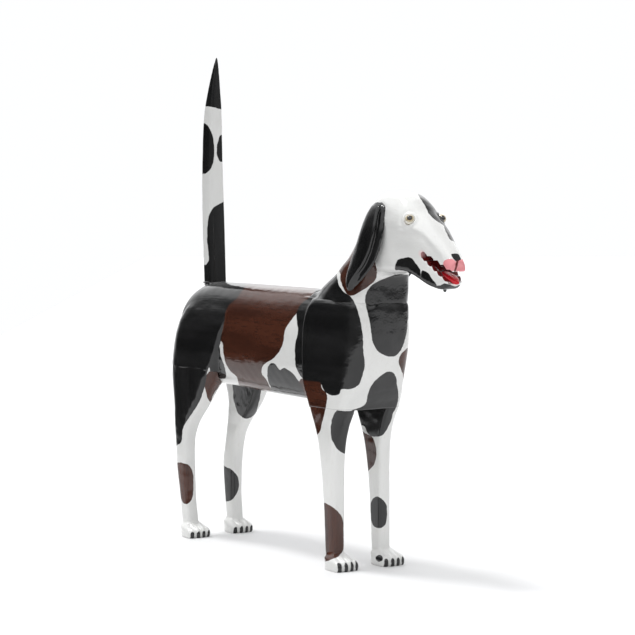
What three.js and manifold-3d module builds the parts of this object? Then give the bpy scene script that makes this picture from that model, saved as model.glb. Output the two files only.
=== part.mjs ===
// A carved and painted wooden hound, standing, with its tail straight up.
// Millimetres, +Z up, +X towards the nose, +Y to the dog's left. The origin is under the middle of the
// figure, on the ground it stands on.

import * as THREE from 'three';
import { mergeVertices } from 'three/addons/utils/BufferGeometryUtils.js';
import Module from 'manifold-3d';

const wasm = await Module();
wasm.setup();

// Driving dimensions
const GAP = 0.3; // open joint between two pieces that touch
const HIP_JOINT = 320; // height of the joint between the haunches and the hind legs
const SHOULDER_JOINT = 281; // height of the joint between the chest and the front legs
const NECK_JOINT = 466; // height of the joint between the chest and the neck block
const NECK_BACK = 104; // x of the rear end of the neck block
const LEG_SPREAD = 50.5; // y of the middle of each paw
const FRONT_HEEL = 186; // x of the heel of the front paws
const HIND_HEEL = { left: -280, right: -275 }; // x of the heels of the hind paws
const FRONT_PAW = 55; // length of the front paws
const HIND_PAW = 49; // length of the hind paws
const LEFT_THIGH_LEAN = 38; // how far forward the left thigh is of the right one
const LEFT_SHANK = 4; // how much further forward the left hind leg reaches below the hock
const TOES = 4;
const EYE = { x: 383.5, y: 33.5, z: 610, radius: 8.8 };
const LEFT_EAR = [-19, 0, 10]; // how far the left ear is set from the right one's place
const TAIL_SEAT = 473; // height of the flat seat under the tail
const TEETH = 5; // saw teeth along each edge of the mouth

// Paint and glass
const WHITE = { color: 0xe9eae6, roughness: 0.25, metalness: 0 };
const BLACK = { color: 0x1b1c1e, roughness: 0.22, metalness: 0 };
const RED = { color: 0xb3141f, roughness: 0.25, metalness: 0 };
const GLASS = { color: 0xe8e0c8, roughness: 0.08, metalness: 0 };

// Rows of [position, value, ...], filled in with a smooth curve, with `per` steps from row to row.
function smoothRows(rows, per) {
	const positions = rows.map((row) => row[0]);
	const values = rows.flatMap((row) => row.slice(1));
	const curve = new THREE.CubicInterpolant(positions, values, rows[0].length - 1);
	const filled = [];
	for (let i = 0; i < rows.length - 1; i++) {
		for (let k = 0; k < per; k++) {
			const position = THREE.MathUtils.lerp(positions[i], positions[i + 1], k / per);
			filled.push([position, ...curve.evaluate(position)]);
		}
	}
	filled.push(rows[rows.length - 1]);
	return filled;
}

// A closed skin over rings of equally many points, stacked in the direction each ring turns about.
function skin(rings) {
	const count = rings[0].length;
	const points = rings.flat();
	const index = [];
	for (let r = 0; r < rings.length - 1; r++) {
		for (let i = 0; i < count; i++) {
			const a = r * count + i;
			const b = r * count + (i + 1) % count;
			index.push(a, b, b + count, a, b + count, a + count);
		}
	}
	for (const [ring, turned] of [[0, true], [rings.length - 1, false]]) {
		const middle = new THREE.Vector3();
		rings[ring].forEach((point) => middle.addScaledVector(point, 1 / count));
		const hub = points.push(middle) - 1;
		for (let i = 0; i < count; i++) {
			const a = ring * count + i;
			const b = ring * count + (i + 1) % count;
			index.push(...(turned ? [b, a, hub] : [a, b, hub]));
		}
	}
	const geometry = new THREE.BufferGeometry().setFromPoints(points);
	geometry.setIndex(index);
	return geometry;
}

// The same shape on the other side of the dog.
function mirrored(geometry) {
	const copy = geometry.clone().scale(1, -1, 1);
	const index = Array.from(copy.index.array);
	for (let i = 0; i < index.length; i += 3) {
		[index[i], index[i + 1]] = [index[i + 1], index[i]];
	}
	copy.setIndex(index);
	return copy;
}

function solid(geometry) {
	const vertProperties = new Float32Array(geometry.attributes.position.array);
	const triVerts = new Uint32Array(geometry.index.array);
	return new wasm.Manifold(new wasm.Mesh({ numProp: 3, vertProperties, triVerts }));
}

function geometryOf(manifold) {
	const mesh = manifold.getMesh();
	const geometry = new THREE.BufferGeometry();
	geometry.setAttribute('position', new THREE.BufferAttribute(mesh.vertProperties, 3));
	geometry.setIndex(new THREE.BufferAttribute(mesh.triVerts, 1));
	return geometry;
}

const joined = (...geometries) => geometries.map(solid).reduce((whole, piece) => whole.add(piece));

// A block between two corners, for sawing a piece off at a joint.
function block(x0, x1, y0, y1, z0, z1) {
	const corners = (z) => [[x1, y0], [x1, y1], [x0, y1], [x0, y0]].map(([x, y]) => new THREE.Vector3(x, y, z));
	return solid(skin([corners(z0), corners(z1)]));
}

const REACH = 1000; // past every end of the figure
const above = (z) => block(-REACH, REACH, -REACH, REACH, z, REACH);
const below = (z) => block(-REACH, REACH, -REACH, REACH, -REACH, z);

// A level ring, as a box with an elliptical corner [length, width] at each of its corners, which are
// given in the order front left, back left, back right, front right.
function boxRing(z, x0, x1, y0, y1, corners, perCorner) {
	const ring = [];
	corners.forEach(([length, width], corner) => {
		const toFront = corner === 0 || corner === 3;
		const toLeft = corner < 2;
		const x = toFront ? x1 - length : x0 + length;
		const y = toLeft ? y1 - width : y0 + width;
		for (let k = 0; k < perCorner; k++) {
			const angle = (corner + k / (perCorner - 1)) * Math.PI / 2;
			ring.push(new THREE.Vector3(x + length * Math.cos(angle), y + width * Math.sin(angle), z));
		}
	});
	return ring;
}

// An upright ring across the dog: a rounded box whose squareness is the power of a superellipse.
function barrelRing(x, top, bottom, halfWidth, power, count) {
	const ring = [];
	const soften = (value) => Math.sign(value) * Math.abs(value) ** (2 / power);
	for (let i = 0; i < count; i++) {
		const angle = i / count * 2 * Math.PI;
		const y = halfWidth * soften(Math.cos(angle));
		const z = (top + bottom) / 2 + (top - bottom) / 2 * soften(Math.sin(angle));
		ring.push(new THREE.Vector3(x, y, z));
	}
	return ring;
}

// The barrel of the body, from the rump to inside the chest. `grow` makes it larger all round.
function barrel(grow) {
	const rows = [ // x, top, bottom, half width, power
		[-322, 398, 340, 20, 2],
		[-317, 424, 316, 38, 2.1],
		[-304, 447, 299, 51, 2.3],
		[-280, 467, 292, 57, 2.5],
		[-245, 478, 290, 59.5, 2.6],
		[-180, 481.5, 291, 60, 2.6],
		[-60, 481.5, 287, 60.5, 2.6],
		[60, 481.5, 284, 60.5, 2.6],
		[200, 480, 284, 60, 2.6],
	];
	return skin(smoothRows(rows, 2).map(([x, top, bottom, halfWidth, power]) =>
		barrelRing(x, top + grow, bottom - grow, halfWidth + grow, power, 32)));
}

// Chest and shoulders, which stand a little proud of the barrel with a crisp step at their back.
function chest() {
	const rows = [ // z, back, front, half width, back corner, front corner length, front corner width
		[SHOULDER_JOINT, 139, 238, 66.5, 6, 19, 16],
		[300, 129, 249, 66.5, 5, 26, 20],
		[319, 121.5, 259, 66.5, 4, 40, 27],
		[360, 118.5, 276, 66.5, 3, 56, 34],
		[394, 118.5, 285, 66.5, 4, 62, 36],
		[425, 118.5, 287, 65.5, 8, 64, 36],
		[445, 118.5, 287.5, 64, 16, 60, 36],
		[462, 119, 287, 62.5, 32, 57, 36],
		[475, 122, 282, 51, 44, 56, 28],
		[481.5, 130, 276, 38, 36, 40, 22],
	];
	return skin(smoothRows(rows, 2).map(([z, back, front, halfWidth, rear, length, width]) => {
		const corners = [[length, width], [rear, rear], [rear, rear], [length, width]];
		return boxRing(z, back, front, -halfWidth, halfWidth, corners, 4);
	}));
}

// Neck, from inside the chest up to the crown of the skull.
function neck() {
	const rows = [ // z, back, front, half width, nape length, nape width, throat length, throat width
		[430, 116, 276, 46, 100, 44, 56, 34],
		[452, 108, 284, 55, 108, 52, 56, 33],
		[462, 106, 286.5, 60.5, 110, 58, 56, 35],
		[470, 106, 287, 62, 112, 60, 56, 36],
		[486, 120, 287, 62.5, 108, 60, 54, 35],
		[498, 142, 287, 61.5, 92, 57, 50, 34],
		[512, 168, 289, 59, 73, 54, 44, 32],
		[528, 188, 296, 57, 64, 51, 40, 31],
		[544, 206, 309, 53, 60, 47, 40, 30],
		[580, 232, 325, 46, 50, 41, 40, 28],
		[612, 254, 345, 41, 46, 37, 42, 27],
		[634, 270, 348, 31, 40, 29, 36, 24],
		[650, 292, 345, 14, 24, 13, 24, 13],
	];
	return skin(smoothRows(rows, 2).map(([z, back, front, halfWidth, nape, napeWidth, throat, throatWidth]) => {
		const corners = [[throat, throatWidth], [nape, napeWidth], [nape, napeWidth], [throat, throatWidth]];
		return boxRing(z, back, front, -halfWidth, halfWidth, corners, 5);
	}));
}

// Skull and muzzle. Each row is one upright ring: x, the top, then the points [y, z] of its left half
// down the brow, eye, cheek and jaw, and the bottom.
function skull() {
	const rows = [
		[274, 648, 18, 642, 33, 620, 41, 580, 34, 524, 507],
		[290, 653, 22, 648, 38.5, 624, 44, 580, 37, 523, 512],
		[310, 655.5, 25, 650, 43, 624, 45, 575, 39.5, 523, 518],
		[342, 654.5, 25, 649, 43.5, 621, 42, 568, 39, 524, 521],
		[365, 645, 25, 637, 41, 614, 38.5, 562, 36, 525, 521.5],
		[385, 626, 24, 620, 37, 603, 35.5, 556, 31.5, 521, 516],
		[410, 605, 20, 600, 30, 586, 29, 547, 26.5, 508.5, 504],
		[436, 580.5, 16, 577, 22.5, 566, 23, 538, 21, 499.5, 496.5],
		[455, 562, 13.5, 559, 17.6, 549, 19.3, 528, 16, 500.5, 497],
		[467, 549, 11.5, 547, 15.8, 539, 16.6, 526, 11, 511, 509],
		[472.5, 542.5, 9, 541.5, 13.5, 536, 14, 527, 8, 520, 518],
	];
	const rings = smoothRows(rows, 2).map(([x, top, ...rest]) => {
		const bottom = rest.pop();
		const left = [];
		for (let i = 0; i < rest.length; i += 2) {
			left.push(new THREE.Vector3(x, rest[i], rest[i + 1]));
		}
		const right = left.map((point) => new THREE.Vector3(x, -point.y, point.z));
		const crown = new THREE.Vector3(x, 0, top);
		const throat = new THREE.Vector3(x, 0, bottom);
		const outline = [crown, ...right, throat, ...left.reverse()];
		const curve = new THREE.CatmullRomCurve3(outline, true, 'centripetal');
		return curve.getPoints(26).slice(0, -1);
	});
	return skin(rings);
}

// The open mouth, from the side as [x, z]: it widens towards the front between two saw-toothed edges,
// and the lower jaw ends short of the upper one.
const MOUTH = {
	upper: [new THREE.Vector2(409, 557), new THREE.Vector2(474, 521.5)],
	lower: [new THREE.Vector2(409, 550), new THREE.Vector2(463, 509.5)],
	tooth: 4,
};

function sawLine([start, end], depth) {
	const along = end.clone().sub(start).divideScalar(TEETH);
	const points = [];
	for (let i = 0; i < TEETH; i++) {
		const foot = start.clone().addScaledVector(along, i);
		points.push(foot, foot.clone().addScaledVector(along, 0.5).add(new THREE.Vector2(0, depth)));
	}
	points.push(end.clone());
	return points;
}

function mouthSaw() {
	const upper = sawLine(MOUTH.upper, MOUTH.tooth);
	const lower = sawLine(MOUTH.lower, -MOUTH.tooth).reverse();
	const front = [new THREE.Vector2(MOUTH.upper[1].x, 0), new THREE.Vector2(MOUTH.lower[1].x, 0)];
	const shape = new THREE.Shape([...upper, ...front, ...lower]);
	const sawn = new THREE.ExtrudeGeometry(shape, { depth: 2 * REACH, bevelEnabled: false });
	sawn.deleteAttribute('normal');
	sawn.deleteAttribute('uv');
	return mergeVertices(sawn.rotateX(Math.PI / 2).translate(0, REACH, 0));
}

// The hollow between the jaws behind the teeth, which narrows towards the nose.
function mouthHollow() {
	const rows = [[0.16, 20], [0.5, 14], [0.88, 8]]; // share of the way to the front, half width
	return skin(rows.map(([share, halfWidth]) => {
		const roof = MOUTH.upper[0].clone().lerp(MOUTH.upper[1], share);
		const floor = MOUTH.lower[0].clone().lerp(MOUTH.lower[1], share);
		const high = roof.y + MOUTH.tooth;
		const low = floor.y - MOUTH.tooth;
		const ring = [[halfWidth, high], [-halfWidth, high], [-halfWidth, low], [halfWidth, low]];
		return ring.map(([y, z]) => new THREE.Vector3(floor.x, y, z));
	}));
}

// Front leg on the left side, from the paw up into the chest.
function frontLeg() {
	const rows = [ // z, back, front, inner side, outer side, corner
		[12, 184.5, 208.5, 37, 63.5, 5],
		[72, 181, 209.5, 37, 63.5, 6],
		[153, 174, 210, 37, 63.5, 7],
		[180, 170, 210, 36.5, 64, 7.5],
		[218, 163.5, 212.5, 35, 64.5, 8.5],
		[250, 152, 221, 34, 65, 10],
		[268, 144.5, 230, 33.5, 66, 11.5],
		[SHOULDER_JOINT - GAP, 139.5, 237.5, 34, 66.5, 12],
	];
	return skin(smoothRows(rows, 2).map(([z, back, front, inner, outer, corner]) => {
		const rear = [6, 6];
		const inside = [6, 6];
		return boxRing(z, back, front, inner, outer, [[corner * 1.6, corner], rear, rear, inside], 4);
	}));
}

// Hind leg and haunch on the left side, from the paw up to the loin. `lean` is how far forward of the
// rows its thigh is, and `shank` how far in front of them the front of the leg is below the hock.
function hindLeg(lean, shank) {
	const rows = [ // z, back, front, inner side, outer side, rear corner, front corner length and width
		[12, -275, -249, 38, 62.5, 7, 6, 6],
		[41, -281.5, -254, 38, 63, 9, 7, 6],
		[72, -286, -259, 38, 63, 9, 8, 6],
		[131, -297.5, -262, 38, 64, 11, 9, 7],
		[165, -301.5, -263.5, 37.5, 64.5, 14, 10, 8],
		[193, -304.5, -260, 37, 65, 16, 12, 9],
		[218, -307.5, -247, 36, 65.5, 19, 17, 11],
		[252, -310.5, -218.5, 33, 66, 24, 24, 13],
		[281, -316.5, -198, 29, 66.5, 30, 30, 15],
		[302, -321, -182, 24, 66.5, 34, 30, 16],
		[326, -324, -167, 18, 66.5, 38, 26, 15],
		[352, -321, -157, 16, 66.5, 42, 16, 11],
		[380, -314, -147, 16, 66.5, 44, 12, 9],
		[408, -303, -133, 16, 64, 44, 12, 9],
		[430, -290, -122, 16, 58.7, 44, 14, 10],
		[446, -276, -116, 16, 52, 40, 16, 12],
		[458, -262, -112, 16, 44.5, 36, 16, 12],
	];
	return skin(smoothRows(rows, 1).map(([z, back, front, inner, outer, rear, length, width]) => {
		const span = (outer - inner) * 0.48;
		const rising = THREE.MathUtils.smoothstep(z, 90, 275);
		const forward = lean * rising * (1 - THREE.MathUtils.smoothstep(z, 330, 450));
		const low = THREE.MathUtils.smoothstep(z, 20, 70) * (1 - THREE.MathUtils.smoothstep(z, 130, 190));
		const corners = [[length, Math.min(width, span)], [rear, Math.min(rear, span)],
			[rear, Math.min(rear, span)], [8, 8]];
		return boxRing(z, back + forward, front + forward + shank * low, inner, outer, corners, 4);
	}));
}

// A paw, with its toes as lobes along the front. Its heel is at x = 0 and it points along +X.
function paw(length) {
	const rows = [ // z, heel, how far short the toes end, half width, groove between the toes
		[0, 0, 1.5, 23.5, 4],
		[4, -0.5, 0, 24.5, 4.5],
		[11, -0.5, 0, 24.5, 5],
		[16, -0.5, 4, 23, 4.5],
		[20, -0.5, 13, 20, 3],
		[24, 0, 22, 16.5, 1],
		[28, 1, 30, 12.5, 0],
	];
	const perToe = 4;
	return skin(smoothRows(rows, 1).map(([z, heel, short, halfWidth, groove]) => {
		const toe = length - short;
		const ring = [];
		for (let i = 0; i <= TOES * perToe; i++) {
			const across = i / (TOES * perToe) * 2 - 1;
			const withinToe = (i % perToe) / perToe * 2 - 1;
			const setBack = 0.22 * halfWidth * across ** 2 + groove * withinToe ** 2;
			ring.push(new THREE.Vector3(toe - setBack, across * halfWidth, z));
		}
		const side = halfWidth * 0.96;
		const heelWidth = Math.min(18, halfWidth * 0.9);
		for (const [x, y] of [[0.45, side], [0.12, heelWidth], [0, heelWidth * 0.6]]) {
			ring.push(new THREE.Vector3(heel + x * (toe - heel), y, z));
		}
		for (const [x, y] of [[0, -heelWidth * 0.6], [0.12, -heelWidth], [0.45, -side]]) {
			ring.push(new THREE.Vector3(heel + x * (toe - heel), y, z));
		}
		return ring;
	}));
}

// Tail, a squared rod that narrows to a point.
function tail() {
	const rows = [ // z, middle x, side
		[TAIL_SEAT + GAP, -254.5, 34],
		[594, -260, 34],
		[686, -263, 32],
		[735, -263, 30.5],
		[779, -262, 28.5],
		[812, -259.5, 25],
		[845, -256, 18],
		[878, -251.5, 10],
		[902.5, -247.5, 2],
	];
	return skin(smoothRows(rows, 1).map(([z, x, side]) => {
		const corner = side * 0.22;
		const corners = Array(4).fill([corner, corner]);
		return boxRing(z, x - side / 2, x + side / 2, -side / 2, side / 2, corners, 3);
	}));
}

// Left ear, a thick folded leaf that hangs from the crown to beside the neck. Each row is one ring
// across it: the edge of its back, the front edge on its inner side, the ridge on its outer side where
// its broad face meets its front, and where its inner side is. `grow` makes it larger all round.
function ear(grow) {
	const rows = [ // z, back, front, ridge, inner side, thickness
		[487, 257, 264, 261, 64.5, 5],
		[496, 250.5, 276, 266, 62.5, 9],
		[512, 250, 297, 281, 60, 13],
		[536, 257, 319, 304, 55.5, 15.5],
		[562, 266, 329, 318, 51.5, 16.5],
		[590, 276, 334, 325, 48, 17],
		[614, 284, 331, 325, 43.5, 15.5],
		[630, 292, 327, 322, 38.5, 14],
		[638, 299.5, 313.5, 311, 35, 10],
	];
	rows[0][0] -= grow;
	rows[rows.length - 1][0] += grow;
	return skin(smoothRows(rows, 1).map(([z, back, front, ridge, inner, thick]) => {
		const fold = Math.min(4, (front - back) * 0.1);
		const shape = [ // x, share of the thickness
			[front + grow, 0.1], [front - fold * 0.2 + grow, 0.3], [(front + ridge) / 2 - fold, 0.5],
			[ridge + grow, 0.85], [ridge - fold, 1], [ridge + (back - ridge) * 0.4, 1],
			[ridge + (back - ridge) * 0.75, 0.85], [back - grow + 1, 0.5], [back - grow, 0.25],
			[back + (front - back) * 0.25, 0], [back + (front - back) * 0.55, 0], [front - fold, 0],
		];
		return shape.map(([x, out]) => new THREE.Vector3(x, inner - grow + out * (thick + 2 * grow), z));
	}));
}

// Tongue, which lies in the mouth and curls down over the lower lip. `grow` makes it larger all round.
function tongue(grow) {
	const rows = [ // x, middle height, half width, half thickness
		[417, 525, 8, 2.6],
		[434, 522, 11.5, 3.6],
		[450, 516.5, 12.5, 4.2],
		[461, 511, 10.5, 4],
		[468, 506, 5, 2.6],
	];
	return skin(smoothRows(rows, 2).map(([x, z, halfWidth, halfThickness]) =>
		barrelRing(x, z + halfThickness + grow, z - halfThickness - grow, halfWidth + grow, 2.3, 10)));
}

function eyeball(side, radius) {
	const ball = new THREE.SphereGeometry(radius, 12, 8);
	ball.deleteAttribute('normal');
	ball.deleteAttribute('uv');
	return mergeVertices(ball).translate(EYE.x, side * EYE.y, EYE.z);
}

function chinKnob() {
	const knob = new THREE.SphereGeometry(3.2, 8, 6).scale(1, 1, 1.5);
	knob.deleteAttribute('normal');
	knob.deleteAttribute('uv');
	return mergeVertices(knob).translate(436, 0, 494.5);
}

const frontPaw = paw(FRONT_PAW).translate(FRONT_HEEL, LEG_SPREAD, 0);
const hind = { left: hindLeg(LEFT_THIGH_LEAN, LEFT_SHANK), right: mirrored(hindLeg(0, 0)) };

// The whole figure is joined as one carving and then sawn at its joints.
const neckBlock = (gap) => block(NECK_BACK - gap, REACH, -REACH, REACH, NECK_JOINT - gap, REACH);

function torso() {
	const haunches = joined(hind.left, hind.right).intersect(above(HIP_JOINT + GAP));
	const whole = joined(barrel(0), chest(), neck()).add(haunches);
	return whole.subtract(neckBlock(0)).subtract(solid(seat(TAIL_SEAT, 1)));
}

// The flat seat that the tail stands on, with room round it.
function seat(floor, room) {
	const half = 17 + room;
	const corners = Array(4).fill([7.5, 7.5]);
	return skin([floor, 600].map((z) => boxRing(z, -254.5 - half, -254.5 + half, -half, half, corners, 3)));
}

function head() {
	const whole = joined(barrel(0), chest(), neck(), skull()).intersect(neckBlock(-GAP));
	const opened = whole.subtract(solid(mouthSaw())).subtract(solid(mouthHollow())).subtract(solid(tongue(GAP)));
	const seats = [1, -1].flatMap((side) => [solid(eyeball(side, EYE.radius + GAP)), earOf(side, GAP)]);
	return seats.reduce((carved, seat) => carved.subtract(seat), opened).add(solid(chinKnob()));
}

function hindLegOf(side) {
	const heel = side > 0 ? HIND_HEEL.left : HIND_HEEL.right;
	const hindPaw = paw(HIND_PAW).translate(heel, LEG_SPREAD, 0);
	const upper = solid(side > 0 ? hind.left : hind.right).intersect(below(HIP_JOINT));
	return upper.subtract(solid(barrel(GAP))).add(solid(side > 0 ? hindPaw : mirrored(hindPaw)));
}

function frontLegOf(side) {
	const geometries = [frontLeg(), frontPaw];
	return joined(...(side > 0 ? geometries : geometries.map(mirrored)));
}

function earOf(side, grow) {
	return solid(side > 0 ? ear(grow).translate(...LEFT_EAR) : mirrored(ear(grow)));
}

const figure = new THREE.Group();

function piece(name, shape, finish) {
	const mesh = new THREE.Mesh(geometryOf(shape), new THREE.MeshStandardMaterial(finish));
	mesh.name = name;
	figure.add(mesh);
}

piece('torso', torso(), WHITE);
piece('head', head(), WHITE);
for (const [side, name] of [[1, 'left'], [-1, 'right']]) {
	piece(`leg_front_${name}`, frontLegOf(side), WHITE);
	piece(`leg_hind_${name}`, hindLegOf(side), WHITE);
	piece(`ear_${name}`, earOf(side, 0), BLACK);
	piece(`eye_${name}`, solid(eyeball(side, EYE.radius)), GLASS);
}
piece('tail', solid(tail()), BLACK);
piece('tongue', solid(tongue(0)), RED);

// The origin goes under the middle of the figure.
const box = new THREE.Box3().setFromObject(figure);
figure.position.x = -(box.min.x + box.max.x) / 2;

export default figure;
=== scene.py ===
"""The looks of a carved and painted wooden hound.

Each block of the figure is carved from its solid: rounded, remeshed finely and relaxed, with the eye rims,
toes, nose and tongue cut in, and then painted in enamel. Shapes are worked out in millimetres in the
drawing's frame, whose x is SHIFT ahead of the row's.
"""

import math

import bpy
import numpy as np
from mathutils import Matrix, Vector


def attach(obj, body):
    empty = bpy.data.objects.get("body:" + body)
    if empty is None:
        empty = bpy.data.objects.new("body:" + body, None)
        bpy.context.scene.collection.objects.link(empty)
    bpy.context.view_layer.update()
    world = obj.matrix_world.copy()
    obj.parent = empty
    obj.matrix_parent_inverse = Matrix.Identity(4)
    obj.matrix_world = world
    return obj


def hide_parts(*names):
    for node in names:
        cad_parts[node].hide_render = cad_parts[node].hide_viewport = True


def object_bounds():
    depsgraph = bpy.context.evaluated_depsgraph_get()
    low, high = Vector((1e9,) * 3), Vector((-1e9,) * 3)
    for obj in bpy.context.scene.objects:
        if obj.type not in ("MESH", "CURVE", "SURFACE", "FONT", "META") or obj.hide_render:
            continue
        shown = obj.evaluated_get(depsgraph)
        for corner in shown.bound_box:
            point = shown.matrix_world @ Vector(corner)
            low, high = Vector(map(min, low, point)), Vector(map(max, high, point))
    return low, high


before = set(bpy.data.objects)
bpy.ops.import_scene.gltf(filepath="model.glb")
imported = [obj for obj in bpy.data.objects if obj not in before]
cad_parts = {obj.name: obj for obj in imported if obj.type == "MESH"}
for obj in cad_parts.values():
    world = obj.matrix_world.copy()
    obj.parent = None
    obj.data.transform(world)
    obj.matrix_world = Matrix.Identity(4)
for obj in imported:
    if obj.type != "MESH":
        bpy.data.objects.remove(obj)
cad_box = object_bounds()

SHIFT = np.array([74.25, 0.0, 0.0])
CRISP = math.cos(math.radians(48))  # edges that turn by more than this stay edges
MOST_BULGE = 0.14  # of an edge's length
LEVELS = 3  # how often each triangle is split
GAP = 0.3  # left open between two solids
OVERLAP = 2.4  # how far a block is lengthened into the next one, so that no gap shows
HIP_JOINT = 320.0
SHOULDER_JOINT = 281.0
NECK_JOINT = 466.0
NECK_BACK = 104.0
EYE = np.array([383.5, 33.5, 610.0])
EYE_RADIUS = 8.8
EYE_SWELLING = 0.35  # over the pupil
MOUTH_CORNER = (411.0, 554.0)  # x and z
MOUTH_FRONT = 463.0
LEG_SPREAD = 50.5
TOE_WIDTH = 12.25
PAWS = {  # x of the heel, the length and the height of the nails
    "leg_front_left": (186.0, 55.0, 14.5), "leg_front_right": (186.0, 55.0, 17.0),
    "leg_hind_left": (-280.0, 49.0, 13.0), "leg_hind_right": (-275.0, 49.0, 13.0),
}
TAIL_FOOT = np.array([-254.5, 0.0, 479.5])
TAIL_HALF = 18.2  # from the middle of the tail to its sides, at the foot

# The photograph's camera
CAMERA = np.array([3533.7, -2501.5, 700.9])
TURN = math.radians(54.12)
DIP = math.radians(3.636)
FOCUS = 2400.0  # pixels
PICTURE = 635  # pixels
MIDDLE = PICTURE / 2
SENSOR = 36  # mm
FORWARD = np.array([-math.sin(TURN) * math.cos(DIP), math.cos(TURN) * math.cos(DIP), -math.sin(DIP)])
RIGHT = np.array([math.cos(TURN), math.sin(TURN), 0.0])
UPWARD = np.cross(RIGHT, FORWARD)


def unit(vectors):
    length = np.linalg.norm(vectors, axis=-1, keepdims=True)
    return vectors / np.maximum(length, 1e-12)


def dot(a, b):
    return (a * b).sum(-1, keepdims=True)


def smoothstep(low, high, value):
    t = np.clip((value - low) / (high - low), 0, 1)
    return t * t * (3 - 2 * t)


def bell(distance, width):
    return np.exp(-((distance / width) ** 2))


def waves(points, size, seed):
    """A soft unevenness of about -1 to 1 whose lumps are `size` wide."""
    chance = np.random.default_rng(seed)
    total = np.zeros(len(points))
    for _ in range(9):
        direction = unit(chance.normal(size=3)) * 2 * math.pi / (size * chance.uniform(0.7, 1.7))
        total += np.sin(points @ direction + chance.uniform(0, 6.3))
    return total / 3


# Shape


def facets(name):
    """A CAD node's points in the drawing's frame, welded, and its triangles."""
    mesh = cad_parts[name].data
    points = np.zeros(len(mesh.vertices) * 3)
    mesh.vertices.foreach_get("co", points)
    points = points.reshape(-1, 3) * 1000 + SHIFT
    mesh.calc_loop_triangles()
    tris = np.zeros(len(mesh.loop_triangles) * 3, int)
    mesh.loop_triangles.foreach_get("vertices", tris)
    _, first, inverse = np.unique(np.round(points, 2), axis=0, return_index=True, return_inverse=True)
    tris = inverse.ravel()[tris].reshape(-1, 3)
    whole = (tris[:, 0] != tris[:, 1]) & (tris[:, 1] != tris[:, 2]) & (tris[:, 2] != tris[:, 0])
    return points[first], tris[whole]


def across(tris, count):
    """For each half edge, the half edge on the other side of it."""
    start, end = tris.ravel(), tris[:, [1, 2, 0]].ravel()
    key, back = start * count + end, end * count + start
    order = np.argsort(key)
    found = order[np.clip(np.searchsorted(key[order], back), 0, len(key) - 1)]
    return np.where(key[found] == back, found, np.arange(len(key)))


def corner_normals(points, tris):
    """A normal for each corner of each triangle, shared over the edges that aren't crisp."""
    a, b, c = (points[tris[:, k]] for k in range(3))
    cross = np.cross(b - a, c - a)
    flat = unit(cross)
    other = across(tris, len(points))
    corners = np.arange(len(other))
    after_other = other // 3 * 3 + (other + 1) % 3
    soft = (flat[corners // 3] * flat[other // 3]).sum(1) > CRISP
    here, there = corners[soft], after_other[soft]
    label = corners.copy()
    while True:
        low = np.minimum(label[here], label[there])
        before = label.copy()
        np.minimum.at(label, here, low)
        np.minimum.at(label, there, low)
        label = label[label]
        if (label == before).all():
            break
    weighted = np.repeat(cross, 3, axis=0)
    total = np.stack([np.bincount(label, weighted[:, k], len(corners)) for k in range(3)], 1)
    return unit(total[label]).reshape(-1, 3, 3)


def tangent(along, ours, theirs):
    """The direction in which the surface leaves an end of an edge, from the normals on its two sides."""
    crease = np.cross(ours, theirs)
    sharp = np.linalg.norm(crease, axis=1, keepdims=True)
    line = crease / np.maximum(sharp, 1e-9)
    middle = unit(ours + theirs)
    return np.where(sharp > 0.3, dot(along, line) * line, along - dot(along, middle) * middle)


def rounded(points, tris, normals):
    """Splits each triangle in four, with the new points on the curve through their neighbours."""
    count = len(points)
    start, end = tris.ravel(), tris[:, [1, 2, 0]].ravel()
    other = across(tris, count)
    near, far = normals.reshape(-1, 3), normals[:, [1, 2, 0]].reshape(-1, 3)
    along = points[end] - points[start]
    leave = tangent(along, near, far[other])
    arrive = tangent(along, far, near[other])
    bulge = (leave - arrive) / 8
    most = MOST_BULGE * np.linalg.norm(along, axis=1, keepdims=True)
    bulge *= np.minimum(1, most / np.maximum(np.linalg.norm(bulge, axis=1, keepdims=True), 1e-9))
    middles = (points[start] + points[end]) / 2 + bulge
    _, first, inverse = np.unique(np.minimum(start, end) * count + np.maximum(start, end),
                                  return_index=True, return_inverse=True)
    split = (inverse.ravel() + count).reshape(-1, 3)
    both = near + far
    turned = unit(both - 2 * dot(along, both) / np.maximum(dot(along, along), 1e-9) * along).reshape(-1, 3, 3)
    faces, shades = [], []
    for k in range(3):
        faces.append(np.stack([tris[:, k], split[:, k], split[:, k - 1]], 1))
        shades.append(np.stack([normals[:, k], turned[:, k], turned[:, k - 1]], 1))
    return np.vstack([points, middles[first]]), np.vstack([*faces, split]), np.vstack([*shades, turned])


def mesh_of(name, points, faces):
    """A mesh of faces with equally many corners, from points in the drawing's frame."""
    mesh = bpy.data.meshes.new(name)
    sides = faces.shape[1]
    mesh.vertices.add(len(points))
    mesh.vertices.foreach_set("co", ((points - SHIFT) / 1000).astype(np.float32).ravel())
    mesh.loops.add(faces.size)
    mesh.loops.foreach_set("vertex_index", faces.astype(np.int32).ravel())
    mesh.polygons.add(len(faces))
    mesh.polygons.foreach_set("loop_start", np.arange(0, faces.size, sides, dtype=np.int32))
    mesh.update(calc_edges=True)
    return mesh


def voxelised(name, points, tris, voxel):
    """The same shape in even faces of about `voxel` mm."""
    coarse = bpy.data.objects.new(name + "_blank", mesh_of(name, points, tris))
    bpy.context.scene.collection.objects.link(coarse)
    remesh = coarse.modifiers.new("even", "REMESH")
    remesh.mode = "VOXEL"
    remesh.voxel_size = voxel / 1000
    graph = bpy.context.evaluated_depsgraph_get()
    mesh = bpy.data.meshes.new_from_object(coarse.evaluated_get(graph))
    blank = coarse.data
    bpy.data.objects.remove(coarse)
    bpy.data.meshes.remove(blank)
    mesh.name = name
    return mesh


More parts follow.
